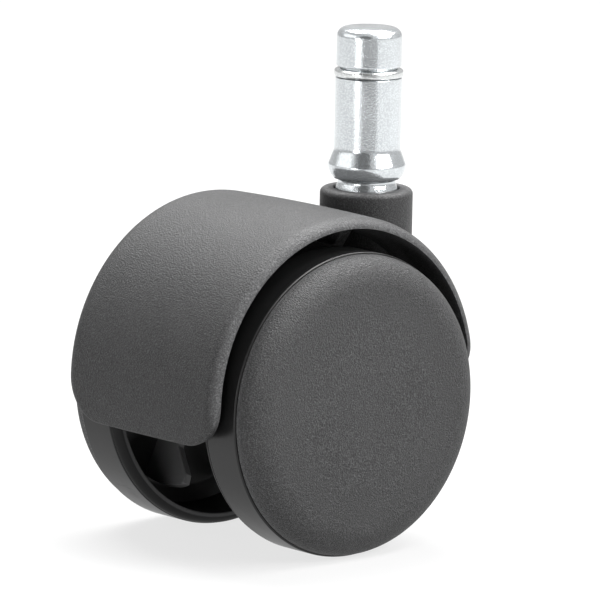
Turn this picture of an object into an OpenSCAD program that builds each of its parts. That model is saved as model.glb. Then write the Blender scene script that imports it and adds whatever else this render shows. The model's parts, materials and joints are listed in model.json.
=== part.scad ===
// Twin-wheel furniture caster: grip-ring stem, hooded swivel housing, two ribbed wheels on one axle.
// The origin is on the stem axis, where the straight part of the stem ends above its collar.
// +Z runs up the stem. +X is the rolling direction, so the axle trails at -X. +Y is the left wheel.

/* [Wheels] */
// Diameter of the tread
wheel_d = 50; // [49:0.5:51]
// Middle plane to a wheel's inner face
wheel_in_y = 11; // [10.9:0.1:11.2]
// Middle plane to the middle of a wheel's outer face
wheel_out_y = 24; // [23.8:0.1:24.5]
// Width of the smooth tread band
tread_w = 7; // [6.5:0.1:7.2]
// Height of the rounded shoulder of a wheel cover, measured along the radius
shoulder_w = 5; // [4:0.5:5.5]
// Fins in each wheel
fin_count = 8; // [6:1:10]
// Thickness of a fin
fin_t = 1.6; // [1.4:0.1:2]

/* [Housing] */
// Stem axis to axle, across the rolling direction
trail = 19.7; // [19.5:0.1:20]
// Origin down to the axle
axle_drop = 37.65; // [37.45:0.1:38.05]
// Outer radius of the hood at its middle
hood_r = 28.9; // [28.6:0.1:29.2]
// Wall of the hood at its edges
hood_wall = 1.8; // [1.6:0.1:1.9]
// How much lower the hood's back is at its edges than at its middle
hood_crown = 0.25; // [0.1:0.05:0.4]
// Width of the hood
hood_w = 37; // [36.8:0.1:37.4]
// The hood's front edge, in degrees below its centre
hood_front_drop = 13.3; // [10:0.1:15]
// The hood's rear edge, in degrees below its centre
hood_rear_drop = 2; // [1:1:4]
// Radius of the boss that holds the stem
boss_r = 7.7; // [7.5:0.1:7.9]
// Wall of the web between the wheels
web_t = 3; // [2.4:0.2:4]

/* [Stem] */
// Nominal diameter of the stem
stem_d = 11; // [11:0.1:11.1]
// Straight stem and head above the origin
stem_h = 20.4; // [20.2:0.1:20.8]
// Outer diameter of the relaxed grip ring
ring_d = 11.46; // [11.3:0.02:11.5]
// Diameter of the collar
collar_d = 12.85; // [12.6:0.05:13]
// Diameter of the spigot that turns in the housing
spigot_d = 8; // [7.8:0.1:8]

/* [Axle] */
// Diameter of the axle pin
axle_d = 6; // [5.6:0.1:6]
// Length of the axle pin
axle_l = 43.6; // [43.4:0.1:43.8]

/* [Hidden] */
$fn = 96;
LEFT = 1;
RIGHT = -1;
slack = 0.05; // radial clearance of a running fit
skin = 0.2; // overlap that fuses two shapes of one moulding

// Hood: its centre lies a little in front of and above the axle, for more room over the wheels
hood_x = -0.15 - trail;
hood_z = 1.8 - axle_drop;
hood_edge_top_r = hood_r - hood_crown;
hood_in_r = hood_edge_top_r - hood_wall;
hood_edge_w = 2.4;
hood_corner_r = 7.2;
corner_reach = 0.04; // how far a corner's round reaches past the edges, so that they cross at an angle
hood_span = 180 + hood_front_drop + hood_rear_drop;

// Boss and socket, from the top down
boss_top_z = -6.3;
boss_edge_r = 1;
boss_bottom_z = 4.5 - axle_drop;
recess_r = 5.45;
recess_z = -8.2;
bush_r = 5;
bush_bottom_z = -24.5;
socket_bottom_z = -29;
axle_boss_r = 5.2;
axle_boss_half = 10.2;

// Stem
stem_r = stem_d / 2;
collar_r = collar_d / 2;
collar_z = -2.4;
spigot_r = spigot_d / 2;
head_r = stem_r - 0.1;
head_edge_r = 1.6;
groove_r = 4.6;
groove_z = 12.1;
groove_h = 1.85;
ring_r = ring_d / 2;
ring_in_r = groove_r + 0.15;
ring_z = groove_z + 0.1;
ring_h = 1.3;
ring_gap = 1.2;
ring_gap_angle = 48;
clip_z = -25.65;
clip_h = 0.9;
clip_groove_r = 3.3;
neck_r = 4.9;
neck_z = recess_z + 0.8;

// Wheel, in its own frame: the axle is local Z, and z is the distance from the middle plane
wheel_r = wheel_d / 2;
tread_in_y = wheel_in_y + 1.5;
tread_out_y = tread_in_y + tread_w;
tread_edge = 0.25;
rim_r = wheel_r - 1.1;
rim_in_r = wheel_r - 2.1;
lip_edge_r = 1.5;
seam_in_r = rim_in_r - 0.4;
seam_r = rim_in_r + 0.1; // where the disc ends on the rim's outer side
disc_flat_r = wheel_r - 4.7;
disc_in_y = wheel_out_y - 2.6;
disc_out_y = wheel_out_y - 1.5;
hub_r = 6.8;
hub_in_y = wheel_in_y + 0.2;
hub_seat_y = wheel_out_y - 4;
hub_seat_r = 5.3;
cover_edge_r = wheel_r - 0.35;
cover_crown = 0.2;
cover_wall = 0.3; // straight part of the cover's side, before its shoulder
cover_centre_r = 3;
fin_r = 19;
fin_bulge = 1.3;
fin_low_y = wheel_in_y + 5.2;
fin_tip_y = wheel_in_y + 0.5;
fin_angle = 26;

// Axle pin and its clips
axle_r = axle_d / 2;
axle_groove_y = hub_seat_y + 0.15;
axle_groove_w = 0.8;
axle_groove_r = axle_r - 0.6;

function arc(x, y, rx, ry, from, to, steps = 6) =
    [for (i = [0 : steps]) let (a = from + (to - from) * i / steps) [x + rx * cos(a), y + ry * sin(a)]];

// Puts a shape made round local Z on the axle, with local Z pointing out of the given side
module on_axle(side) translate([-trail, 0, -axle_drop]) rotate([-90 * side, 0, 0]) children();

// Puts a shape made round local Z on the hood's centre, with local X, Y as row X, Z
module on_hood() translate([hood_x, 0, hood_z]) rotate([90, 0, 0]) children();

module ring(r_out, r_in, z, h) translate([0, 0, z]) difference() {
    cylinder(r = r_out, h = h);
    translate([0, 0, -1]) cylinder(r = r_in, h = h + 2);
}

// ---------- swivel housing ----------

module hood_shell_profile() {
    edge_y = hood_w / 2 - hood_edge_w;
    back = [for (i = [-4 : 4]) let (y = edge_y * i / 4) [hood_r - hood_crown * pow(i / 4, 2), y]];
    polygon(concat(
        arc(hood_in_r, -edge_y, hood_wall, hood_edge_w, -90, -12),
        back,
        arc(hood_in_r, edge_y, hood_wall, hood_edge_w, 12, 90)
    ));
}

// What rounds a lower corner of the hood: local X is radial, the edge is at local Y = 0, the hood above it
module corner_cut(side) {
    r = hood_corner_r;
    translate([hood_in_r - 2, 0, 0]) rotate([90, 0, 90]) linear_extrude(2 * hood_wall + 4) difference() {
        translate([-1, side > 0 ? hood_w / 2 - r : -hood_w / 2 - 1]) square([r + 1, r + 1]);
        translate([r - corner_reach, side * (hood_w / 2 - r + corner_reach)]) circle(r);
    }
}

module hood_shell() on_hood() difference() {
    rotate([0, 0, -hood_rear_drop]) rotate_extrude(angle = hood_span) hood_shell_profile();
    rotate([0, 0, 180 + hood_front_drop]) mirror([0, 1, 0]) corner_cut(LEFT);
    rotate([0, 0, 180 + hood_front_drop]) mirror([0, 1, 0]) corner_cut(RIGHT);
    rotate([0, 0, -hood_rear_drop]) corner_cut(LEFT);
    rotate([0, 0, -hood_rear_drop]) corner_cut(RIGHT);
}

// The plate between the wheels, which carries the axle boss and the stem boss
module web() on_hood() linear_extrude(web_t, center = true) intersection() {
    circle(hood_in_r + skin);
    polygon([
        [-hood_r, -5.6], [-6, -7.2], [5, -7.2], [14, -4], [hood_r, 0.8],
        [hood_r, hood_r], [-hood_r, hood_r]
    ]);
}

// Short leaning rib under the roof, in front of the stem boss
module roof_rib() on_hood() linear_extrude(16, center = true) intersection() {
    circle(hood_in_r + skin);
    polygon([[5.65, 22.25], [7.8, 21.75], [13.35, 28.85], [10.95, 29.15]]);
}

module stem_boss_profile() polygon(concat(
    [[0, boss_bottom_z], [boss_r, boss_bottom_z]],
    arc(boss_r - boss_edge_r, boss_top_z - boss_edge_r, boss_edge_r, boss_edge_r, 0, 90),
    [[0, boss_top_z]]
));

module hood_housing() color("#3b3c3e") difference() {
    union() {
        hood_shell();
        web();
        roof_rib();
        rotate_extrude() stem_boss_profile();
        translate([-trail, axle_boss_half, -axle_drop]) rotate([90, 0, 0]) cylinder(r = axle_boss_r, h = 2 * axle_boss_half);
    }
    translate([0, 0, recess_z]) cylinder(r = recess_r, h = 10);
    translate([0, 0, socket_bottom_z]) cylinder(r = bush_r, h = 25);
    translate([-trail, 15, -axle_drop]) rotate([90, 0, 0]) cylinder(r = axle_r, h = 30);
}

module socket_bush() color("#8d9196") ring(bush_r, spigot_r + slack, bush_bottom_z, recess_z - bush_bottom_z);

module thrust_washer() color("#b9bec4") ring(recess_r - 0.2, spigot_r + 0.1, recess_z, 0.75);

module axle_pin() color("#aeb3b8") difference() {
    translate([-trail, axle_l / 2, -axle_drop]) rotate([90, 0, 0]) rotate_extrude() polygon([
        [0, 0], [axle_r - 0.4, 0], [axle_r, 0.4], [axle_r, axle_l - 0.4], [axle_r - 0.4, axle_l], [0, axle_l]
    ]);
    for (side = [LEFT, RIGHT]) on_axle(side) ring(axle_r + 1, axle_groove_r, axle_groove_y, axle_groove_w);
}

// ---------- stem ----------

module stem() color("#c8cdd3") rotate_extrude() polygon(concat(
    [[0, stem_h]],
    arc(head_r - head_edge_r, stem_h - head_edge_r, head_edge_r, head_edge_r, 90, 0),
    [[head_r, groove_z + groove_h + 0.15], [head_r - 0.15, groove_z + groove_h], [groove_r, groove_z + groove_h]],
    [[groove_r, groove_z], [stem_r - 0.1, groove_z], [stem_r, groove_z - 0.1], [stem_r, 0]],
    arc(collar_r - 2.4, collar_z, 2.4, 2.9, 0, -55),
    [[neck_r, collar_z - 3], [neck_r, neck_z + 1], [neck_r - 0.6, neck_z], [spigot_r, neck_z]],
    [[spigot_r, clip_z + clip_h], [clip_groove_r, clip_z + clip_h], [clip_groove_r, clip_z], [spigot_r, clip_z]],
    [[spigot_r, socket_bottom_z + 1], [spigot_r - 0.5, socket_bottom_z + 0.5], [0, socket_bottom_z + 0.5]]
));

// An open ring with rounded edges, its gap at the given angle
module split_ring(r_out, r_in, z, h, edge, gap, angle) difference() {
    rotate_extrude() polygon(concat(
        [[r_in, z]],
        arc(r_out - edge, z + edge, edge, edge, -90, 0, 4),
        arc(r_out - edge, z + h - edge, edge, edge, 0, 90, 4),
        [[r_in, z + h]]
    ));
    rotate([0, 0, angle]) translate([0, -gap / 2, z - 1]) cube([r_out + 1, gap, h + 2]);
}

module grip_ring() color("#d3d7db") split_ring(ring_r, ring_in_r, ring_z, ring_h, 0.45, ring_gap, ring_gap_angle);

module stem_clip() color("#6f7378")
    split_ring(bush_r - 0.25, clip_groove_r, clip_z + 0.05, clip_h - 0.1, 0.1, 2 * clip_groove_r - 0.8, 0);

// ---------- wheels ----------

// The ring under the tread, with a rounded shoulder on its inner side
module wheel_rim(side) color("#2a2b2d") on_axle(side) rotate_extrude() polygon(concat(
    [[seam_in_r, tread_out_y], [rim_in_r, wheel_in_y + 0.2], [rim_in_r + 0.2, wheel_in_y]],
    arc(wheel_r - 0.1 - lip_edge_r, tread_in_y, lip_edge_r, lip_edge_r, -90, 0),
    [[rim_r, tread_in_y], [rim_r, tread_out_y]]
));

// The dished disc that joins the hub and the fins to the rim
module disc_profile() polygon([
    [0, disc_in_y], [disc_flat_r, disc_in_y], [seam_in_r, tread_out_y],
    [seam_r, tread_out_y], [seam_r, tread_out_y + 0.7], [disc_flat_r + 0.5, disc_out_y - 0.5],
    [disc_flat_r - 0.8, disc_out_y], [0, disc_out_y]
]);

// One fin in (radius, z), with a hollow between it and the rim: low near the hub and tall at its outer end
module fin_profile() polygon(concat(
    [[hub_r - 0.5, disc_in_y + 0.5], [hub_r - 0.5, fin_low_y], [13.4, fin_low_y], [fin_r - 1.2, fin_tip_y + 0.2]],
    arc(fin_r, (fin_tip_y + disc_in_y) / 2, fin_bulge, (disc_in_y - fin_tip_y) / 2, -80, 60),
    [[fin_r, disc_in_y + 0.5]]
));

module wheel_core(side) color("#2a2b2d") on_axle(side) difference() {
    union() {
        rotate_extrude() disc_profile();
        translate([0, 0, hub_in_y]) cylinder(r = hub_r, h = disc_in_y + 0.5 - hub_in_y);
        for (i = [0 : fin_count - 1])
            rotate([90, 0, fin_angle + 360 * i / fin_count])
                translate([0, 0, -fin_t / 2]) linear_extrude(fin_t) fin_profile();
    }
    cylinder(r = axle_r + slack, h = wheel_out_y);
    translate([0, 0, hub_seat_y]) cylinder(r = hub_seat_r, h = wheel_out_y);
}

module tread(side) color("#1f2022") on_axle(side) rotate_extrude() polygon([
    [rim_r, tread_in_y], [wheel_r - tread_edge, tread_in_y], [wheel_r, tread_in_y + tread_edge],
    [wheel_r, tread_out_y - tread_edge], [wheel_r - tread_edge, tread_out_y], [rim_r, tread_out_y]
]);

module wheel_cover(side) {
    flat_r = cover_edge_r - shoulder_w;
    shoulder_y = tread_out_y + cover_wall;
    shoulder_h = wheel_out_y - cover_crown - shoulder_y;
    crown = [for (i = [5 : -1 : 0]) let (t = i / 6)
        [cover_centre_r + (flat_r - cover_centre_r) * t, wheel_out_y - cover_crown * t * t]];
    color("#3e3f41") on_axle(side) rotate_extrude() polygon(concat(
        [[cover_edge_r, tread_out_y]],
        arc(flat_r, shoulder_y, shoulder_w, shoulder_h, 0, 90, 9),
        crown,
        [[0, wheel_out_y], [0, disc_out_y], [disc_flat_r - 0.8, disc_out_y], [disc_flat_r + 0.6, disc_out_y - 0.5]],
        [[seam_r + 0.1, tread_out_y + 0.7], [seam_r + 0.1, tread_out_y]]
    ));
}

module hub_washer(side) color("#b9bec4") on_axle(side) ring(5.6, axle_r + slack, axle_boss_half, wheel_in_y - axle_boss_half);

// E-clip: an open disc in the axle's groove, with its mouth to the front
module axle_clip(side) color("#6f7378") on_axle(side) difference() {
    ring(4.8, axle_groove_r, axle_groove_y + 0.05, axle_groove_w - 0.1);
    translate([-10, -axle_groove_r + 0.3, axle_groove_y - 1]) cube([10, 2 * axle_groove_r - 0.6, 3]);
    for (a = [55, 180 + 125]) rotate([0, 0, a]) translate([4.1, 0, axle_groove_y - 1]) cylinder(r = 0.9, h = 3);
}

module wheel_core_left() wheel_core(LEFT);
module wheel_core_right() wheel_core(RIGHT);
module wheel_rim_left() wheel_rim(LEFT);
module wheel_rim_right() wheel_rim(RIGHT);
module tread_left() tread(LEFT);
module tread_right() tread(RIGHT);
module wheel_cover_left() wheel_cover(LEFT);
module wheel_cover_right() wheel_cover(RIGHT);
module hub_washer_left() hub_washer(LEFT);
module hub_washer_right() hub_washer(RIGHT);
module axle_clip_left() axle_clip(LEFT);
module axle_clip_right() axle_clip(RIGHT);

hood_housing();
socket_bush();
thrust_washer();
axle_pin();
stem();
stem_clip();
grip_ring();
wheel_core_left();
wheel_rim_left();
tread_left();
wheel_cover_left();
hub_washer_left();
axle_clip_left();
wheel_core_right();
wheel_rim_right();
tread_right();
wheel_cover_right();
hub_washer_right();
axle_clip_right();
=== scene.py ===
"""Twin-wheel furniture caster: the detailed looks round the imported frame.

Lengths are in millimetres until a mesh is made, and in metres in the studio. Texture scales are per metre.
"""

import json
import math

import bmesh
import bpy
from mathutils import Matrix, Vector


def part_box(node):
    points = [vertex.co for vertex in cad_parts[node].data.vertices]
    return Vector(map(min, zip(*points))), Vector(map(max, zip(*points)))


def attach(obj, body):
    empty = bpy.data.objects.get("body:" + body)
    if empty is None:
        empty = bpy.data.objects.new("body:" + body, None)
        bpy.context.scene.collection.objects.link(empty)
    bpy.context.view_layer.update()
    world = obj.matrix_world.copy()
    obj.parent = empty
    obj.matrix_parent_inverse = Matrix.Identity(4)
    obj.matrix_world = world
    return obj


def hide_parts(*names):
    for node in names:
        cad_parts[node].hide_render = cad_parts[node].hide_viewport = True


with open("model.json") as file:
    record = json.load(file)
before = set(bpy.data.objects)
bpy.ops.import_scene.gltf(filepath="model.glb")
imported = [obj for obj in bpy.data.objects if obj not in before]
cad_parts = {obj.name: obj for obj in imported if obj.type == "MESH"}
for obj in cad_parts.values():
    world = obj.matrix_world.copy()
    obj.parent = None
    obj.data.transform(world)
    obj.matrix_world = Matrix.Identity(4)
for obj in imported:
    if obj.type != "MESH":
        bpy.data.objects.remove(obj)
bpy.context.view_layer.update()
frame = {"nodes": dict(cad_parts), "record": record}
MM = 0.001
LEFT, RIGHT = 1, -1


# ---------- sizes, from the frame ----------

def node_box(name):
    """Lowest and highest corner of a CAD node, in millimetres."""
    low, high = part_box(name)
    return low / MM, high / MM


TREAD_LOW, TREAD_HIGH = node_box("tread_left")
COVER_HIGH = node_box("wheel_cover_left")[1]
HOOD_HIGH = node_box("hood_housing")[1]
STEM_LOW, STEM_HIGH = node_box("stem")
RING_LOW, RING_HIGH = node_box("grip_ring")
WHEEL_R = (TREAD_HIGH.z - TREAD_LOW.z) / 2
AXLE_X = (TREAD_HIGH.x + TREAD_LOW.x) / 2
AXLE_Z = (TREAD_HIGH.z + TREAD_LOW.z) / 2
TREAD_IN, TREAD_OUT = TREAD_LOW.y, TREAD_HIGH.y
WHEEL_IN, WHEEL_OUT = TREAD_IN - 1.5, COVER_HIGH.y
DISC_IN, DISC_OUT = WHEEL_OUT - 2.6, WHEEL_OUT - 1.5
RIM_R, RIM_IN_R = WHEEL_R - 1.1, WHEEL_R - 2.1
SEAM_R = RIM_IN_R + 0.1
DISC_FLAT_R = WHEEL_R - 4.7
COVER_R, COVER_FLAT_R = WHEEL_R - 0.35, WHEEL_R - 5.35
COVER_CROWN = 0.2
COVER_WALL = 0.3
HUB_R, HUB_SEAT_R = 6.8, 5.3
AXLE_R, AXLE_SLACK = 3.0, 0.05
FIN_R, FIN_LOW_R, FIN_BULGE, FIN_T, FIN_COUNT, FIN_ANGLE = 19.0, 13.2, 1.3, 1.6, 8, 26

HOOD_X, HOOD_Z = AXLE_X - 0.15, AXLE_Z + 1.8
HOOD_R = 28.9
HOOD_HALF = HOOD_HIGH.y
HOOD_CROWN, HOOD_WALL = 0.25, 1.8
HOOD_IN_R = HOOD_R - HOOD_CROWN - HOOD_WALL
HOOD_REAR, HOOD_FRONT = math.radians(-2), math.radians(193.3)
HOOD_CORNER_R = 7.2
HOOD_ROLL = 2.4
HOOD_END_EDGE = 0.45
WEB_HALF = 1.5
WEB_REAR_ANGLE = 180 + 10.5
WEB_NOTCH_Z, WEB_NOTCH_REACH, WEB_FRONT_REACH = -30, 6.4, 6.9
WEB_LOWER_EDGE = [(-6, -7.2), (5, -7.2), (14, -4)]
ROOF_RIB = [(5.65, 22.25), (7.8, 21.75), (10.4, 25.1), (8.4, 25.8)]
ROOF_RIB_HALF = 8

BOSS_R, BOSS_TOP, BOSS_EDGE = 7.7, HOOD_HIGH.z, 1.0
BOSS_BOTTOM = AXLE_Z + 4.5
RECESS_R, RECESS_Z, BUSH_R, SOCKET_Z = 5.45, -8.2, 5.0, -29.0
HOLE_R, HOLE_LOW, HOLE_HIGH = 6.5, -40, 0
AXLE_BOSS_R, AXLE_BOSS_HALF = 5.2, 10.2

STEM_R, STEM_TOP, HEAD_R, HEAD_EDGE = 5.5, STEM_HIGH.z, 5.4, 1.6
GROOVE_R, GROOVE_Z, GROOVE_H = 4.6, 12.1, 1.85
COLLAR_R, COLLAR_Z, NECK_R, NECK_Z = (STEM_HIGH.x - STEM_LOW.x) / 2, -2.4, 4.9, -7.4
SPIGOT_R = 4.0
RING_R, RING_GAP, RING_GAP_ANGLE = 5.73, 1.2, 48


# ---------- outlines ----------

def arc(x, y, rx, ry, start, end, steps):
    """Points of an ellipse's arc, angles in degrees."""
    turn = [math.radians(start + (end - start) * i / steps) for i in range(steps + 1)]
    return [(x + rx * math.cos(a), y + ry * math.sin(a)) for a in turn]


def rounded(points, radius, steps=4):
    """The closed outline with each corner rounded. radius is one number, or one for each point."""
    radii = radius if isinstance(radius, (list, tuple)) else [radius] * len(points)
    out = []
    for i, point in enumerate(points):
        p = Vector(point)
        before = Vector(points[i - 1]) - p
        after = Vector(points[(i + 1) % len(points)]) - p
        between = before.angle(after, math.pi)
        if radii[i] <= 0 or between > math.radians(177):
            out.append(tuple(p))
            continue
        reach = min(radii[i] / math.tan(between / 2), before.length * 0.45, after.length * 0.45)
        r = reach * math.tan(between / 2)
        middle = p + (before.normalized() + after.normalized()).normalized() * (r / math.sin(between / 2))
        start = p + before.normalized() * reach - middle
        end = p + after.normalized() * reach - middle
        turn = start.angle_signed(end)
        for k in range(steps + 1):
            out.append(tuple(middle + Matrix.Rotation(-turn * k / steps, 2) @ start))
    return out


# ---------- mesh building ----------

def lathe(outline, steps=192, start=0.0, sweep=360.0):
    """A bmesh turned round local Z from a closed outline of (radius, height).

    Points on the axis become one vertex."""
    bm = bmesh.new()
    full = sweep >= 360
    columns = steps if full else steps + 1
    poles = {i: bm.verts.new((0, 0, h * MM)) for i, (r, h) in enumerate(outline) if r < 1e-6}
    rows = []
    for k in range(columns):
        a = math.radians(start + sweep * k / steps)
        x, y = math.cos(a), math.sin(a)
        rows.append([poles.get(i) or bm.verts.new((r * MM * x, r * MM * y, h * MM))
                     for i, (r, h) in enumerate(outline)])
    for k in range(steps):
        near, far = rows[k], rows[(k + 1) % columns]
        for i in range(len(outline)):
            j = (i + 1) % len(outline)
            corners = list(dict.fromkeys([near[i], near[j], far[j], far[i]]))
            if len(corners) > 2:
                bm.faces.new(corners)
    if not full:
        bm.faces.new(rows[0])
        bm.faces.new(rows[-1])
    return bm


def prism(outline, half, edge=0.25, segments=3):
    """A bmesh plate: the outline in local X, Y, from -half to half along local Z, its long edges rounded."""
    bm = bmesh.new()
    steps = [math.pi / 2 * i / segments for i in range(segments + 1)]
    levels = [(-half + edge * (1 - math.sin(a)), edge * (1 - math.cos(a))) for a in reversed(steps)]
    levels += [(half - edge * (1 - math.sin(a)), edge * (1 - math.cos(a))) for a in steps]
    loops = []
    for z, inset in levels:
        loops.append([bm.verts.new((x * MM, y * MM, z * MM)) for x, y in shrunk(outline, inset)])
    for low, high in zip(loops, loops[1:]):
        for i in range(len(outline)):
            j = (i + 1) % len(outline)
            bm.faces.new([low[i], low[j], high[j], high[i]])
    bm.faces.new(loops[0])
    bm.faces.new(loops[-1])
    return bm


def shrunk(outline, inset):
    """The closed outline moved inwards by inset."""
    points = [Vector(p) for p in outline]
    area = sum(a.cross(b) for a, b in zip(points, points[1:] + points[:1]))
    sign = 1 if area > 0 else -1
    out = []
    for i, p in enumerate(points):
        a = (p - points[i - 1]).normalized()
        b = (points[(i + 1) % len(points)] - p).normalized()
        na, nb = Vector((-a.y, a.x)) * sign, Vector((-b.y, b.x)) * sign
        out.append(tuple(p + (na + nb) * (inset / max(0.3, 1 + na.dot(nb)))))
    return out


def placed(bm, matrix):
    """The same bmesh, moved."""
    bmesh.ops.transform(bm, matrix=matrix, verts=bm.verts)
    return bm


def on_axle(side):
    """Puts local Z on the axle, pointing out of that side."""
    middle = Matrix.Translation(Vector((AXLE_X, 0, AXLE_Z)) * MM)
    return middle @ Matrix.Rotation(math.radians(-90 * side), 4, "X")


def on_hood():
    """Puts local X, Y on the row's X, Z at the hood's centre."""
    return Matrix.Translation(Vector((HOOD_X, 0, HOOD_Z)) * MM) @ Matrix.Rotation(math.radians(90), 4, "X")


def piece(name, parts, body, node, material, sharp=32):
    """One object from several bmesh parts, riding on a body and standing for a CAD node."""
    mesh = bpy.data.meshes.new(name)
    whole = bmesh.new()
    for bm in parts:
        bmesh.ops.recalc_face_normals(bm, faces=bm.faces)
        part = bpy.data.meshes.new("part")
        bm.to_mesh(part)
        bm.free()
        whole.from_mesh(part)
        bpy.data.meshes.remove(part)
    whole.to_mesh(mesh)
    whole.free()
    mesh.polygons.foreach_set("use_smooth", [True] * len(mesh.polygons))
    mesh.set_sharp_from_angle(angle=math.radians(sharp))
    obj = bpy.data.objects.new(name, mesh)
    bpy.context.scene.collection.objects.link(obj)
    obj.data.materials.append(material)
    weighted = obj.modifiers.new("even_shading", "WEIGHTED_NORMAL")
    weighted.keep_sharp = True
    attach(obj, body)
    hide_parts(node)
    return obj


# ---------- swivel housing ----------

def hood_reach(across):
    """How far the hood's outline is drawn in from its ends, at that distance from the middle."""
    over = across - (HOOD_HALF - HOOD_CORNER_R)
    return 0.0 if over <= 0 else HOOD_CORNER_R - math.sqrt(max(0.0, HOOD_CORNER_R ** 2 - over ** 2))


def hood_height(along, across, length):
    """Height of the hood's outer face over its inner one. along is the distance from the rear end."""
    crown = HOOD_CROWN * min(1.0, (across / (HOOD_HALF - HOOD_ROLL)) ** 2)
    wall = HOOD_R - crown - HOOD_IN_R
    end = min(along, length - along)
    over, under = abs(across) - (HOOD_HALF - HOOD_CORNER_R), HOOD_CORNER_R - end
    if over > 0 and under > 0:
        inside = HOOD_CORNER_R - math.hypot(over, under)
        share = math.atan2(over, under) / (math.pi / 2)
        share = share * share * (3 - 2 * share)
    else:
        inside = min(end, HOOD_HALF - abs(across))
        share = 1.0 if over > 0 else 0.0
    inside = max(0.0, inside)
    drop = HOOD_END_EDGE + (wall - 0.12 - HOOD_END_EDGE) * share
    run = HOOD_END_EDGE + (HOOD_ROLL - HOOD_END_EDGE) * share
    return wall - drop + drop * math.sqrt(max(0.0, 1 - (1 - min(inside / run, 1)) ** 2))


def hood_shell():
    """The shell over the wheels, with rolled side edges, rounded corners and thin end edges."""
    length = (HOOD_FRONT - HOOD_REAR) * (HOOD_IN_R + 1)
    flat = HOOD_HALF - HOOD_CORNER_R
    turns = [math.radians(a) for a in range(0, 91, 3)]
    side = [flat + HOOD_CORNER_R * math.sin(a) for a in turns]
    inner = [flat * (i / 10) for i in range(-9, 10)]
    columns = [-y for y in reversed(side)] + inner + side
    ends = [0, 0.01, 0.04, 0.09, 0.16, 0.24, 0.34, 0.45, 0.6, 0.8, 1.1, 1.5, 2.0, 2.6, 3.3, 4.1, 5.0]
    count = 84
    middle = [ends[-1] + (length - 2 * ends[-1]) * i / count for i in range(1, count)]
    rows = ends + middle + [length - e for e in reversed(ends)]
    bm = bmesh.new()
    outer, lower = [], []
    for t in rows:
        outer_row, inner_row = [], []
        for y in columns:
            reach = hood_reach(abs(y))
            s = reach + (length - 2 * reach) * t / length
            a = HOOD_REAR + (HOOD_FRONT - HOOD_REAR) * s / length
            r = HOOD_IN_R + hood_height(s, y, length)
            for row, radius in ((outer_row, r), (inner_row, HOOD_IN_R)):
                row.append(bm.verts.new((radius * MM * math.cos(a), radius * MM * math.sin(a), -y * MM)))
        outer.append(outer_row)
        lower.append(inner_row)
    wide, long = len(columns), len(rows)
    for i in range(long - 1):
        for j in range(wide - 1):
            bm.faces.new([outer[i][j], outer[i][j + 1], outer[i + 1][j + 1], outer[i + 1][j]])
            bm.faces.new([lower[i][j], lower[i + 1][j], lower[i + 1][j + 1], lower[i][j + 1]])
    border = [(i, 0) for i in range(long)] + [(long - 1, j) for j in range(1, wide)]
    border += [(i, wide - 1) for i in range(long - 2, -1, -1)] + [(0, j) for j in range(wide - 2, 0, -1)]
    for (i, j), (k, l) in zip(border, border[1:] + border[:1]):
        bm.faces.new([outer[i][j], outer[k][l], lower[k][l], lower[i][j]])
    return opened_for_boss(placed(bm, on_hood()))


def opened_for_boss(bm):
    """Cuts the shell away inside the stem boss, where the socket is."""
    bmesh.ops.recalc_face_normals(bm, faces=bm.faces)
    shell = as_object("shell", bm)
    cutter = as_object("cutter", lathe([(0, HOLE_LOW), (HOLE_R, HOLE_LOW),
                                        (HOLE_R, HOLE_HIGH), (0, HOLE_HIGH)], 64))
    cut = shell.modifiers.new("hole", "BOOLEAN")
    cut.operation, cut.solver, cut.object = "DIFFERENCE", "EXACT", cutter
    result = bpy.data.meshes.new_from_object(shell.evaluated_get(bpy.context.evaluated_depsgraph_get()))
    out = bmesh.new()
    out.from_mesh(result)
    for o in (shell, cutter):
        mesh = o.data
        bpy.data.objects.remove(o)
        bpy.data.meshes.remove(mesh)
    bpy.data.meshes.remove(result)
    return out


def as_object(name, bm):
    """A plain object of the bmesh, in the scene."""
    bmesh.ops.recalc_face_normals(bm, faces=bm.faces)
    mesh = bpy.data.meshes.new(name)
    bm.to_mesh(mesh)
    bm.free()
    obj = bpy.data.objects.new(name, mesh)
    bpy.context.scene.collection.objects.link(obj)
    return obj


def web():
    """The plate between the wheels. It ends inside the stem boss's wall."""
    inside = HOOD_IN_R + 0.4
    boss = -HOOD_X
    notch_x, notch_z = boss - WEB_NOTCH_REACH, WEB_NOTCH_Z - HOOD_Z
    start = math.degrees(math.acos(notch_x / inside))
    roof = arc(0, 0, inside, inside, start, WEB_REAR_ANGLE, 40)
    outline = [(boss + WEB_FRONT_REACH, notch_z), (notch_x, notch_z)] + roof
    outline += WEB_LOWER_EDGE + [(inside - 0.2, 0.8), (inside - 0.3, 3)]
    return placed(prism(outline, WEB_HALF, 0.3), on_hood())


def roof_rib():
    """The short rib that stiffens the hood's roof. It ends inside the hood's wall."""
    return placed(prism(rounded(ROOF_RIB, 0.25), ROOF_RIB_HALF, 0.3), on_hood())


def stem_boss():
    """The boss with its recess and socket."""
    outline = [(0, BOSS_BOTTOM), (BOSS_R, BOSS_BOTTOM)]
    outline += arc(BOSS_R - BOSS_EDGE, BOSS_TOP - BOSS_EDGE, BOSS_EDGE, BOSS_EDGE, 0, 90, 10)
    outline += arc(RECESS_R + 0.3, BOSS_TOP - 0.3, 0.3, 0.3, 90, 180, 5)
    outline += [(RECESS_R, RECESS_Z), (BUSH_R, RECESS_Z), (BUSH_R, SOCKET_Z), (0, SOCKET_Z)]
    return lathe(outline, 160)


def axle_boss():
    """The sleeve that carries the axle pin."""
    h = AXLE_BOSS_HALF
    outline = rounded([(AXLE_R, -h), (AXLE_BOSS_R, -h), (AXLE_BOSS_R, h), (AXLE_R, h)], 0.3)
    return placed(lathe(outline, 96), on_axle(LEFT))


# ---------- stem ----------

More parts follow.
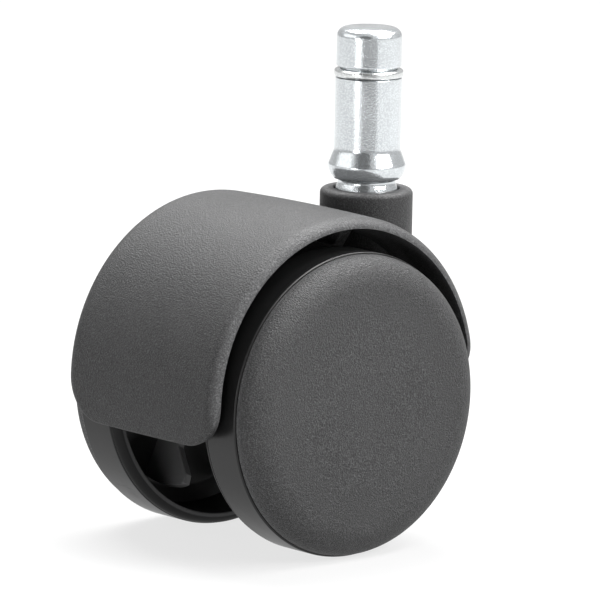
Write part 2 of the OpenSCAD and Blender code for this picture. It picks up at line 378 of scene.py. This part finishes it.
def stem():
    """Head, ring groove, straight part, conical collar, belly, neck and spigot."""
    outline = [(0, STEM_TOP), (0.6, STEM_TOP - 0.02), (2.6, STEM_TOP - 0.02)]
    outline += arc(HEAD_R - HEAD_EDGE, STEM_TOP - HEAD_EDGE, HEAD_EDGE, HEAD_EDGE, 88, 0, 16)
    outline += [(HEAD_R, GROOVE_Z + GROOVE_H + 0.4)]
    outline += arc(HEAD_R - 0.18, GROOVE_Z + GROOVE_H + 0.18, 0.18, 0.18, 0, -90, 5)
    outline += [(GROOVE_R + 0.12, GROOVE_Z + GROOVE_H)]
    outline += arc(GROOVE_R + 0.12, GROOVE_Z + GROOVE_H - 0.12, -0.12, 0.12, 90, 0, 3)[1:]
    outline += arc(GROOVE_R + 0.12, GROOVE_Z + 0.12, 0.12, 0.12, 180, 270, 3)
    outline += arc(STEM_R - 0.14, GROOVE_Z - 0.14, 0.14, 0.14, 90, 0, 4)
    outline += [(STEM_R, 8), (STEM_R, 4), (STEM_R, 0.6), (STEM_R + 0.02, 0.15)]
    outline += [(STEM_R + 0.12, -0.2), (COLLAR_R - 0.1, COLLAR_Z + 0.32)]
    outline += [(COLLAR_R - 0.02, COLLAR_Z + 0.1)]
    outline += arc(COLLAR_R - 2.4, COLLAR_Z, 2.4, 2.9, 0, -52, 18)
    outline += [(NECK_R - 0.12, COLLAR_Z - 2.5), (NECK_R - 0.2, COLLAR_Z - 2.65)]
    outline += [(NECK_R - 0.05, COLLAR_Z - 3.2)]
    outline += [(NECK_R + 0.3, COLLAR_Z - 4), (NECK_R + 0.3, NECK_Z + 0.6)]
    outline += [(NECK_R - 0.6, NECK_Z), (SPIGOT_R, NECK_Z), (SPIGOT_R, STEM_LOW.z + 0.5)]
    outline += [(SPIGOT_R - 0.5, STEM_LOW.z), (0, STEM_LOW.z)]
    return lathe(outline, 192)


def grip_ring():
    """A split ring with rounded edges."""
    low, high, inner = RING_LOW.z, RING_HIGH.z, GROOVE_R + 0.15
    outline = rounded([(inner, low), (RING_R, low), (RING_R, high), (inner, high)], [0.12, 0.5, 0.5, 0.12], 7)
    gap = math.degrees(RING_GAP / RING_R)
    return lathe(outline, 180, RING_GAP_ANGLE + gap / 2, 360 - gap)


# ---------- wheels ----------

def wheel_cover(side):
    """The full-face cover: crowned face, rounded shoulder, and a back that seats on the disc's edge."""
    shoulder = TREAD_OUT + COVER_WALL
    height = WHEEL_OUT - COVER_CROWN - shoulder
    outline = [(SEAM_R + 0.1, TREAD_OUT), (COVER_R - 0.3, TREAD_OUT)]
    outline += arc(COVER_R - 0.14, TREAD_OUT + 0.14, 0.14, 0.14, -90, 0, 4)
    outline += arc(COVER_FLAT_R, shoulder, COVER_R - COVER_FLAT_R, height, 0, 88, 30)
    face = (18.5, 16, 13, 10, 7, 4, 2)
    outline += [(r, WHEEL_OUT - COVER_CROWN * (r / COVER_FLAT_R) ** 2) for r in face]
    outline += [(0, WHEEL_OUT), (0, DISC_OUT)]
    outline += [(DISC_FLAT_R - 0.8, DISC_OUT), (DISC_FLAT_R + 0.6, DISC_OUT - 0.5)]
    outline += [(SEAM_R + 0.1, TREAD_OUT + 0.7)]
    return placed(lathe(outline, 224), on_axle(side))


def tread(side):
    """The smooth band that rolls on the floor."""
    outline = [(RIM_R, TREAD_IN), (WHEEL_R - 0.4, TREAD_IN)]
    outline += arc(WHEEL_R - 0.25, TREAD_IN + 0.25, 0.25, 0.25, -80, 0, 5)
    outline += [(WHEEL_R, TREAD_IN + 2), (WHEEL_R, TREAD_OUT - 2)]
    outline += arc(WHEEL_R - 0.25, TREAD_OUT - 0.25, 0.25, 0.25, 0, 80, 5)
    outline += [(WHEEL_R - 0.4, TREAD_OUT), (RIM_R, TREAD_OUT)]
    return placed(lathe(outline, 224), on_axle(side))


def wheel_rim(side):
    """The rim under the tread, with its rolled inner lip."""
    outline = [(RIM_IN_R - 0.4, TREAD_OUT), (RIM_IN_R - 0.02, WHEEL_IN + 0.5)]
    outline += arc(RIM_IN_R + 0.3, WHEEL_IN + 0.3, 0.3, 0.3, 180, 270, 6)
    outline += arc(WHEEL_R - 1.6, TREAD_IN, 1.5, 1.5, -86, -12, 12)
    outline += arc(WHEEL_R - 0.24, TREAD_IN - 0.12, 0.11, 0.11, 0, 90, 3)
    outline += [(RIM_R, TREAD_IN), (RIM_R, TREAD_OUT)]
    return placed(lathe(outline, 224), on_axle(side))


def wheel_core(side):
    """Dished disc and hub."""
    disc = [(HUB_SEAT_R, DISC_IN), (DISC_FLAT_R - 0.4, DISC_IN), (DISC_FLAT_R + 0.1, DISC_IN - 0.15)]
    disc += [(RIM_IN_R - 0.4, TREAD_OUT), (SEAM_R, TREAD_OUT), (SEAM_R, TREAD_OUT + 0.7)]
    disc += [(DISC_FLAT_R + 0.5, DISC_OUT - 0.5), (DISC_FLAT_R - 0.8, DISC_OUT), (HUB_SEAT_R, DISC_OUT)]
    low, seat, bore = WHEEL_IN + 0.2, WHEEL_OUT - 4, AXLE_R + AXLE_SLACK
    hub = [(bore + 0.2, low), (HUB_R - 0.3, low), (HUB_R, low + 0.3), (HUB_R, DISC_IN + 0.5)]
    hub += [(HUB_SEAT_R, DISC_IN + 0.5), (HUB_SEAT_R, seat), (bore, seat), (bore, low + 0.2)]
    return [placed(lathe(disc, 192), on_axle(side)), placed(lathe(hub, 96), on_axle(side))]


def fins(side):
    """The plates that stand between the hub and the disc's edge."""
    parts = []
    for i in range(FIN_COUNT):
        turn = Matrix.Rotation(math.radians(FIN_ANGLE + 360 * i / FIN_COUNT), 4, "Z")
        upright = turn @ Matrix.Rotation(math.pi / 2, 4, "X")
        parts.append(placed(prism(fin_outline(), FIN_T / 2, 0.3), on_axle(side) @ upright))
    return parts


def fin_outline():
    """A fin from the side: low at the hub, and rising to a bulged foot at its outer end."""
    low, tip = WHEEL_IN + 5.2, WHEEL_IN + 0.5
    outline = [(HUB_R - 0.5, DISC_IN + 0.5), (HUB_R - 0.5, low)]
    outline += [(FIN_LOW_R, low), (FIN_LOW_R + 0.4, low - 0.25), (FIN_R - 1.3, tip + 0.35)]
    outline += arc(FIN_R, (tip + DISC_IN) / 2, FIN_BULGE, (DISC_IN - tip) / 2, -80, 60, 20)
    return outline + [(FIN_R, DISC_IN + 0.5)]


# ---------- materials ----------

class Look:
    """A node material being put together."""

    def __init__(self, name, colour, roughness, metallic=0.0, specular=0.5):
        self.material = bpy.data.materials.new(name)
        self.material.use_nodes = True
        self.tree = self.material.node_tree
        self.shader = self.tree.nodes["Principled BSDF"]
        self.shader.inputs["Base Color"].default_value = (*colour, 1)
        self.shader.inputs["Roughness"].default_value = roughness
        self.shader.inputs["Metallic"].default_value = metallic
        self.shader.inputs["Specular IOR Level"].default_value = specular
        self.place = self.tree.nodes.new("ShaderNodeTexCoord").outputs["Object"]

    def add(self, kind, settings=(), **inputs):
        """A new node with its settings, and its inputs set to numbers or linked to sockets."""
        node = self.tree.nodes.new(kind)
        for key, value in dict(settings).items():
            setattr(node, key, value)
        for key, value in inputs.items():
            self.feed(node.inputs[key.replace("_", " ")], value)
        return node

    def feed(self, socket, value):
        """Links a socket to another, or sets it to a number or a colour."""
        if isinstance(value, bpy.types.NodeSocket):
            self.tree.links.new(value, socket)
        else:
            socket.default_value = value

    def stretched(self, scale):
        """Object coordinates, scaled by axis."""
        return self.add("ShaderNodeMapping", Vector=self.place, Scale=scale).outputs["Vector"]

    def noise(self, scale, detail=2.0, roughness=0.5, vector=None):
        return self.add("ShaderNodeTexNoise", Vector=vector or self.place, Scale=scale, Detail=detail,
                        Roughness=roughness).outputs["Fac"]

    def cells(self, scale, smooth=0.6):
        settings = {"feature": "SMOOTH_F1"}
        return self.add("ShaderNodeTexVoronoi", settings, Vector=self.place, Scale=scale,
                        Smoothness=smooth).outputs["Distance"]

    def near_edge(self, axis, middle, start, end):
        """Rises from 0 to 1 between two distances, in millimetres, from the middle along X, Y or Z."""
        along = self.add("ShaderNodeSeparateXYZ", Vector=self.place).outputs[axis]
        away = self.maths("ABSOLUTE", self.maths("SUBTRACT", along, middle * MM), 0.0)
        return self.remap(away, start * MM, end * MM, 0, 1)

    def remap(self, value, low, high, to_low, to_high):
        settings = {"interpolation_type": "SMOOTHSTEP"}
        return self.add("ShaderNodeMapRange", settings, Value=value, From_Min=low, From_Max=high,
                        To_Min=to_low, To_Max=to_high).outputs["Result"]

    def maths(self, operation, a, b):
        node = self.add("ShaderNodeMath", {"operation": operation})
        for socket, value in zip(node.inputs, (a, b)):
            self.feed(socket, value)
        return node.outputs[0]

    def mixed(self, share, a, b):
        """A colour between a and b."""
        node = self.add("ShaderNodeMix", {"data_type": "RGBA"})
        self.feed(node.inputs[0], share)
        for socket, value in ((node.inputs[6], a), (node.inputs[7], b)):
            self.feed(socket, (*value, 1) if isinstance(value, tuple) else value)
        return node.outputs[2]

    def colour(self, socket):
        self.tree.links.new(socket, self.shader.inputs["Base Color"])

    def roughness(self, socket):
        self.tree.links.new(socket, self.shader.inputs["Roughness"])

    def glow(self, strength):
        """Makes the whole surface shine evenly."""
        self.shader.inputs["Emission Color"].default_value = WHITE
        self.shader.inputs["Emission Strength"].default_value = strength

    def bump(self, height, depth, onto=None):
        node = self.add("ShaderNodeBump", Height=height, Distance=depth * MM, Strength=1.0)
        if onto is not None:
            self.tree.links.new(onto, node.inputs["Normal"])
        self.tree.links.new(node.outputs["Normal"], self.shader.inputs["Normal"])
        return node.outputs["Normal"]


def shade(colour, factor):
    return tuple(c * factor for c in colour)


def grained_nylon(name, colour, grain, roughness, edge):
    """Moulded nylon with a spark-eroded grain, uneven gloss, light specks painted into the colour as the
    grain's glints, faint dust specks, and lighter specks gathered at the edge that are painted highlights.
    """
    look = Look(name, colour, roughness, specular=0.26)
    fine = look.noise(4200, 2, 0.6)
    pits = look.cells(3600)
    grain_height = look.maths("ADD", look.maths("MULTIPLY", fine, 0.6), look.maths("MULTIPLY", pits, 0.5))
    clouds = look.noise(70, 3, 0.55)
    dust = look.remap(look.noise(160, 4, 0.7), 0.55, 0.8, 0, 0.2)
    # Faint dust specks everywhere, plus a band along the edge where the colour is painted lighter: a painted
    # highlight on the rounded edge.
    dust_and_edge_highlight = look.maths("MAXIMUM", dust, look.near_edge(*edge))
    dust_and_highlight_specks = look.maths("MULTIPLY", dust_and_edge_highlight, look.remap(look.noise(2900, 3, 0.7), 0.46, 0.7, 0.2, 1))
    base = look.mixed(look.remap(clouds, 0.3, 0.7, 0, 1), shade(colour, 0.5), shade(colour, 0.7))
    # Light specks in the colour: painted glints, standing in for the grain catching the light.
    glint_speckled = look.mixed(look.remap(look.noise(5200, 2, 0.7), 0.42, 0.66, 0, 1), base, shade(colour, 2.1))
    look.colour(look.mixed(dust_and_highlight_specks, glint_speckled, shade(colour, 4)))
    look.roughness(look.remap(look.maths("ADD", clouds, look.maths("MULTIPLY", fine, 0.5)), 0.4, 1.1,
                              roughness - 0.05, roughness + 0.07))
    look.bump(grain_height, grain)
    return look.material


def satin_plastic(name, colour, roughness, specular=0.3, edge=None):
    """Smooth moulded plastic with very fine turning lines from its mould, rolling scuffs, and, where an edge
    band is given, a much lighter line painted along it as a highlight.
    """
    look = Look(name, colour, roughness, specular=specular)
    lines = look.noise(1, 2, 0.6, look.stretched((12, 2600, 12)))
    clouds = look.noise(110, 4, 0.6)
    scuffs = look.remap(look.noise(1, 4, 0.7, look.stretched((500, 90, 500))), 0.6, 0.75, 0, 1)
    base = look.mixed(look.remap(clouds, 0.3, 0.7, 0, 1), shade(colour, 0.88), shade(colour, 1.1))
    marked = look.mixed(look.maths("MULTIPLY", scuffs, 0.25), base, shade(colour, 1.7))
    # Along the given edge band the colour turns six times lighter: a painted highlight.
    look.colour(look.mixed(look.near_edge(*edge), marked, shade(colour, 6)) if edge else marked)
    look.roughness(look.remap(look.maths("ADD", clouds, look.maths("MULTIPLY", scuffs, 0.4)), 0.3, 1.1,
                              roughness - 0.05, roughness + 0.12))
    look.bump(look.noise(900, 3, 0.6), 0.006, look.bump(lines, 0.004))
    return look.material


def zinc_plate(name, colour, roughness, crystals=0.013):
    """Bright zinc plating: fine turned lines, tiny crystals that break up what it reflects, and dark flecks
    painted into the colour as reflections of dark surroundings in those crystals.
    """
    look = Look(name, colour, roughness, metallic=0.94)
    turned = look.noise(1, 2, 0.6, look.stretched((25, 25, 2400)))
    speckle = look.cells(3900, 0.3)
    # Dark flecks in the colour: painted reflections, standing in for the dark specks the plating's crystals
    # reflect.
    painted_reflection_flecks = look.remap(look.cells(3800, 0.15), 0.25, 0.55, 0, 1)
    clouds = look.noise(260, 3, 0.6, look.stretched((1, 1, 0.35)))
    base = look.mixed(look.remap(clouds, 0.3, 0.7, 0, 1), shade(colour, 0.93), shade(colour, 1.04))
    look.colour(look.mixed(look.maths("MULTIPLY", painted_reflection_flecks, 0.3), base, shade(colour, 0.45)))
    look.roughness(look.remap(look.maths("ADD", clouds, look.maths("MULTIPLY", speckle, 0.5)), 0.5, 1.0,
                              roughness - 0.03, roughness + 0.08))
    look.bump(speckle, crystals, look.bump(turned, 0.0015))
    return look.material


def floor_white():
    """A faintly uneven white that glows enough to stay white behind the object."""
    look = Look("floor_white", (0.09, 0.09, 0.09), 0.9, specular=0.1)
    look.glow(FLOOR_GLOW)
    look.colour(look.mixed(look.noise(3, 2), (0.088, 0.088, 0.088), (0.092, 0.092, 0.092)))
    look.bump(look.noise(800, 2), 0.01)
    return look.material


# Bands along rounded edges where the colour is painted lighter: painted highlights on the hood's sides, the
# boss's top, the cover's rim and the rim's lip.
HOOD_SIDE_HIGHLIGHT = ("Y", 0, HOOD_HALF - 1.4, HOOD_HALF - 0.3)
BOSS_TOP_HIGHLIGHT = ("Z", BOSS_BOTTOM, BOSS_TOP - BOSS_BOTTOM - 1.1, BOSS_TOP - BOSS_BOTTOM)
RIM_LIP_HIGHLIGHT = ("Y", 0, WHEEL_IN + 0.05, WHEEL_IN)
COVER_RIM_HIGHLIGHT = ("Y", 0, TREAD_OUT + 1.2, TREAD_OUT + 0.1)

MATERIALS = {
    "housing_nylon": grained_nylon("housing_nylon", (0.02, 0.02, 0.0204), 0.13, 0.57, HOOD_SIDE_HIGHLIGHT),
    "boss_nylon": grained_nylon("boss_nylon", (0.021, 0.021, 0.0214), 0.07, 0.5, BOSS_TOP_HIGHLIGHT),
    "cover_nylon": grained_nylon("cover_nylon", (0.022, 0.022, 0.0224), 0.24, 0.55, COVER_RIM_HIGHLIGHT),
    # core_nylon is made darker to keep the hollow inside the wheel dark: painted shade. fin_nylon_lit_copy is
    # a lighter copy of the same nylon so that the fins look lit: painted light.
    "core_nylon": satin_plastic("core_nylon", (0.012, 0.012, 0.0122), 0.42),
    "fin_nylon_lit_copy": satin_plastic("fin_nylon_lit_copy", (0.045, 0.045, 0.0455), 0.42),
    # The rim's lip gets a lighter line: a painted highlight.
    "rim_nylon": satin_plastic("rim_nylon", (0.006, 0.006, 0.0061), 0.45, 0.13, RIM_LIP_HIGHLIGHT),
    "tread_plastic": satin_plastic("tread_plastic", (0.006, 0.006, 0.0061), 0.34),
    "zinc_plated_stem": zinc_plate("zinc_plated_stem", (0.75, 0.785, 0.805), 0.15),
    "grip_ring_steel": zinc_plate("grip_ring_steel", (0.78, 0.8, 0.8), 0.15, 0.02),
    "plated_steel": zinc_plate("plated_steel", (0.7, 0.72, 0.74), 0.28),
    "spring_steel": zinc_plate("spring_steel", (0.26, 0.26, 0.27), 0.32),
}


# ---------- assembly ----------

def build_housing():
    """The housing in two pieces, because its boss is smoother than its hood."""
    parts = [hood_shell(), web(), roof_rib(), axle_boss()]
    piece("hood_moulding", parts, "swivel", "hood_housing", MATERIALS["housing_nylon"])
    boss = [stem_boss()]
    piece("stem_boss", boss, "swivel", "hood_housing", MATERIALS["boss_nylon"])


def build_stem():
    """The stem and its spring ring."""
    metal, ring = MATERIALS["zinc_plated_stem"], MATERIALS["grip_ring_steel"]
    piece("stem_turned", [stem()], "stem", "stem", metal, 50)
    piece("grip_ring_sprung", [grip_ring()], "grip_ring", "grip_ring", ring)


def build_wheel(side, word):
    """One wheel: its pieces as (name, parts, CAD node, material, slot)."""
    rows = [
        ("cover_", [wheel_cover(side)], "wheel_cover_", "cover_nylon", "cover_nylon"),
        ("tread_band_", [tread(side)], "tread_", "tread_plastic", "tread_plastic"),
        ("rim_", [wheel_rim(side)], "wheel_rim_", "rim_nylon", "core_nylon"),
        ("core_", wheel_core(side), "wheel_core_", "core_nylon", "core_nylon"),
        # The fins get the lighter copy of the core's nylon: painted light.
        ("fins_", fins(side), "wheel_core_", "fin_nylon_lit_copy", "core_nylon"),
    ]
    for name, parts, node, material, slot in rows:
        piece(name + word, parts, "wheel_" + word, node + word, MATERIALS[material])


def finish_hidden_parts():
    """The small metal parts inside keep their CAD shapes and get their plating."""
    slots = {row["node"]: row["material_slot"] for row in frame["record"]["subparts"]}
    for name, obj in frame["nodes"].items():
        if not obj.hide_render:
            obj.data.materials.clear()
            obj.data.materials.append(MATERIALS[slots[name]])


# ---------- studio ----------

VIEW_AZIMUTH, VIEW_ELEVATION = math.radians(228.696), math.radians(10.084)
VIEW_ROLL = math.radians(1.088)
VIEW_DISTANCE, VIEW_ANGLE = 1.02026, 0.0968706
VIEW_TARGET = Vector((-0.0126115, 0.0017449, -0.0242549))


WORLD_LIGHT, WORLD_DARK, DARK_FROM, DARK_TO = 0.55, 0.08, 0.9, 0.96
DARK_AZIMUTH, DARK_ELEVATION = math.radians(216), math.radians(25)
FLOOR_HALF, FLOOR_GLOW = 6, 0.74
FLAG_DISTANCE, FLAG_TURN, FLAG_RISE = 0.34, math.radians(3), 0.03
FLAG_WIDTH, FLAG_HEIGHT, FLAG_GLOW = 0.34, 0.12, 0.25
WHITE = (1, 1, 1, 1)


def bearing(azimuth, elevation):
    """The unit vector that points that way, angles in radians."""
    flat = math.cos(elevation)
    return Vector((flat * math.cos(azimuth), flat * math.sin(azimuth), math.sin(elevation)))


def view_axes():
    """Right, up and back of the camera."""
    back = bearing(VIEW_AZIMUTH, VIEW_ELEVATION)
    right = Vector((-math.sin(VIEW_AZIMUTH), math.cos(VIEW_AZIMUTH), 0))
    up = back.cross(right)
    turn = Matrix.Rotation(VIEW_ROLL, 3, back)
    return turn @ right, turn @ up, back


def add_camera():
    """A long lens from the photograph's side, a little rolled."""
    data = bpy.data.cameras.new("camera")
    data.sensor_width = 36
    data.lens = data.sensor_width / VIEW_ANGLE
    camera = bpy.data.objects.new("camera", data)
    right, up, back = view_axes()
    place = Matrix.Translation(VIEW_TARGET + back * VIEW_DISTANCE)
    camera.matrix_world = place @ Matrix((right, up, back)).transposed().to_4x4()
    data.clip_start, data.clip_end = 0.05, 50
    bpy.context.scene.collection.objects.link(camera)
    bpy.context.scene.camera = camera


def add_world():
    """An even white studio that is darker where the photographer stands."""
    world = bpy.data.worlds.new("studio")
    world.use_nodes = True
    nodes, links = world.node_tree.nodes, world.node_tree.links
    background = nodes["Background"]
    place = nodes.new("ShaderNodeTexCoord")
    dot = nodes.new("ShaderNodeVectorMath")
    dot.operation = "DOT_PRODUCT"
    dot.inputs[1].default_value = bearing(DARK_AZIMUTH, DARK_ELEVATION)
    links.new(place.outputs["Generated"], dot.inputs[0])
    share = nodes.new("ShaderNodeMapRange")
    share.interpolation_type = "SMOOTHSTEP"
    limits = {"From Min": DARK_FROM, "From Max": DARK_TO, "To Min": WORLD_LIGHT, "To Max": WORLD_DARK}
    for key, value in limits.items():
        share.inputs[key].default_value = value
    links.new(dot.outputs["Value"], share.inputs["Value"])
    links.new(share.outputs["Result"], background.inputs["Strength"])
    background.inputs["Color"].default_value = WHITE
    bpy.context.scene.world = world


def add_floor():
    """A plain white floor under the wheels."""
    bm = bmesh.new()
    bmesh.ops.create_grid(bm, x_segments=8, y_segments=8, size=FLOOR_HALF)
    floor = as_object("floor", bm)
    floor.location.z = TREAD_LOW.z * MM
    floor.data.materials.append(floor_white())


def panel(name, azimuth, elevation, distance, size, radiance, aim=(-0.01, 0, -0.02)):
    """A softbox at that bearing from the object in degrees, facing it, with the given brightness."""
    aim = Vector(aim)
    place = aim + bearing(math.radians(azimuth), math.radians(elevation)) * distance
    data = bpy.data.lights.new(name, "AREA")
    data.shape, data.size, data.size_y = "RECTANGLE", size[0], size[1]
    data.energy = radiance * math.pi * size[0] * size[1]
    light = bpy.data.objects.new(name, data)
    light.location = place
    light.rotation_mode = "QUATERNION"
    light.rotation_quaternion = (aim - place).to_track_quat("-Z", "Y")
    light.visible_camera = False
    bpy.context.scene.collection.objects.link(light)
    return light


def add_flag():
    """A dark card in front of the metal, outside every view, which gives the stem its dark middle band."""
    bm = bmesh.new()
    bmesh.ops.create_grid(bm, x_segments=4, y_segments=2, size=0.5)
    flag = as_object("flag", bm)
    a = VIEW_AZIMUTH + FLAG_TURN
    x, y = FLAG_DISTANCE * math.cos(a), FLAG_DISTANCE * math.sin(a)
    flag.location = (x, y, TREAD_LOW.z * MM + FLAG_RISE)
    flag.scale = (FLAG_WIDTH, FLAG_HEIGHT, 1)
    flag.rotation_euler = (math.radians(90), 0, a + math.radians(90))
    look = Look("flag_grey", (0.05, 0.05, 0.05), 0.9, specular=0.1)
    look.glow(FLAG_GLOW)
    flag.data.materials.append(look.material)
    flag.visible_camera = flag.visible_shadow = flag.visible_diffuse = False


def add_studio():
    """World, floor, softboxes, flag and camera. Sizes and distances are in metres."""
    add_world()
    add_floor()
    panel("top_softbox", 66, 66, 1.0, (0.8, 0.5), 24)
    panel("high_right_softbox", 305, 64, 1.0, (0.5, 0.4), 15)
    panel("right_softbox", 290, 34, 1.0, (0.65, 0.4), 17)
    panel("shoulder_softbox", 346, 47, 1.0, (0.3, 0.3), 18)
    panel("left_softbox", 148, 27, 1.0, (1.0, 0.45), 1.0)
    panel("low_left_softbox", 190, 5, 0.6, (0.16, 0.14), 8)
    fill = panel("low_fill", 212, 1, 0.6, (0.2, 0.1), 46, aim=(-0.02, 0.01, -0.05))
    fill.visible_glossy = False
    add_flag()
    add_camera()
    bpy.context.scene.view_settings.view_transform = "Standard"


build_housing()
build_stem()
build_wheel(LEFT, "left")
build_wheel(RIGHT, "right")
finish_hidden_parts()
add_studio()
